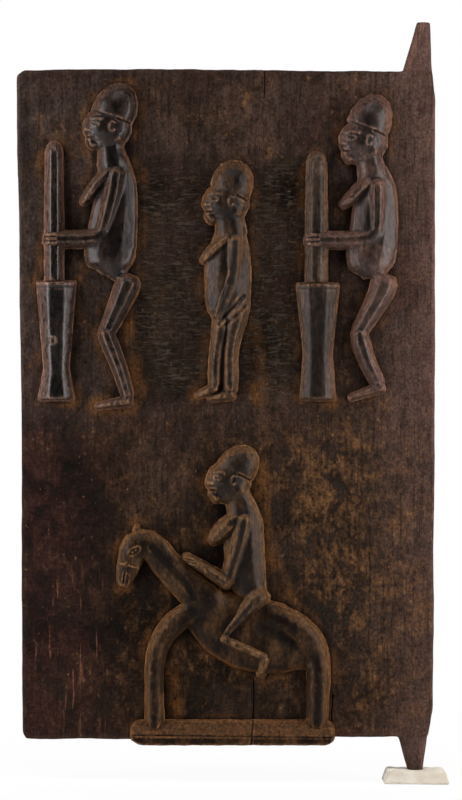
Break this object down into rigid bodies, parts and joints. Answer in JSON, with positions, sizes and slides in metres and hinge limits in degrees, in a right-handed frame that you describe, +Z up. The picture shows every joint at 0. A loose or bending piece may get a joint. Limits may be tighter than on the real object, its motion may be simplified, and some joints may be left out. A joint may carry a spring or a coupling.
{
  "type": "granary door",
  "caption": "Hewn wooden granary door with pivot pins, carved in relief with figures pounding grain, a standing figure and a rider on a horse, turning in a pivot stone.",
  "frame": {"origin": "middle of the pivot stone's underside, on the line the door turns about", "axes": "+Z up along the pivot line, +X to the right seen from the carved side, -Y out of the carved front towards the viewer"},
  "size_m": [0.4841, 0.0658, 0.8384],
  "materials": {
    "plank_wood": "hand-hewn, dark oily patina",
    "carved_wood": "hand-carved, worn to a soft sheen",
    "stone": "rough sandstone"
  },
  "bodies": {
    "sill": {"pivot_stone": "stone"},
    "door": {"door_plank": "plank_wood", "left_mortar": "carved_wood", "left_pestle": "carved_wood", "left_pounder": "carved_wood", "middle_figure": "carved_wood", "right_mortar": "carved_wood", "right_pestle": "carved_wood", "right_pounder": "carved_wood", "plinth": "carved_wood", "horse": "carved_wood", "rider": "carved_wood"}
  },
  "joints": [
    {"name": "door_swing", "type": "hinge", "parent": "sill", "child": "door", "pos_m": [0, 0, 0], "axis": [0, 0, 1], "range_deg": [0, 105]}
  ]
}
